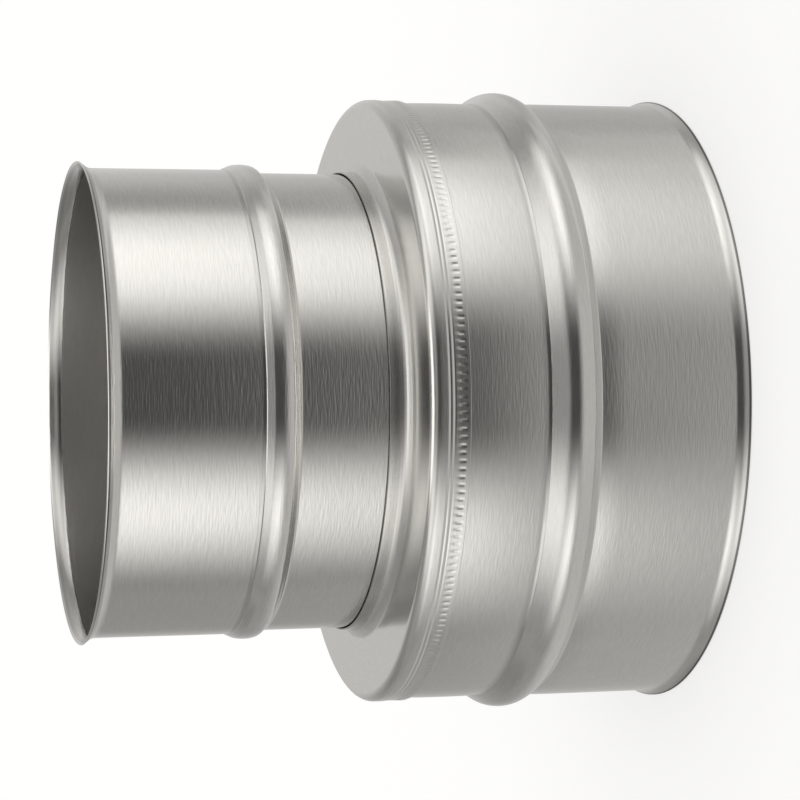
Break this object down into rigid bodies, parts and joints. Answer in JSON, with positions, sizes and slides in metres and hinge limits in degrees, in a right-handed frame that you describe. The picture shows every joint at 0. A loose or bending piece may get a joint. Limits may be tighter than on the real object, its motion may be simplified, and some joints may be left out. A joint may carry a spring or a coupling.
{
  "type": "flue pipe adapter",
  "caption": "Rolled sheet steel flue reducer with a small flared socket, a flat crimped plate and a large flared socket on one axis, each socket with a round stop bead.",
  "frame": {"origin": "centre of the large rim, on the plane that the rim stands on", "axes": "+Z along the flue from the large end to the small end; +X and +Y across it, with no preferred direction"},
  "size_m": [0.2069, 0.207, 0.1951],
  "materials": {
    "rolled_steel": "bright rolled sheet with fine streaks round the tube",
    "pressed_steel": "bright pressed sheet, satin on the flat ring, with a dented crimp band"
  },
  "bodies": {
    "root": {"large_tube": "rolled_steel", "reducing_plate": "pressed_steel", "small_tube": "rolled_steel"}
  },
  "joints": []
}
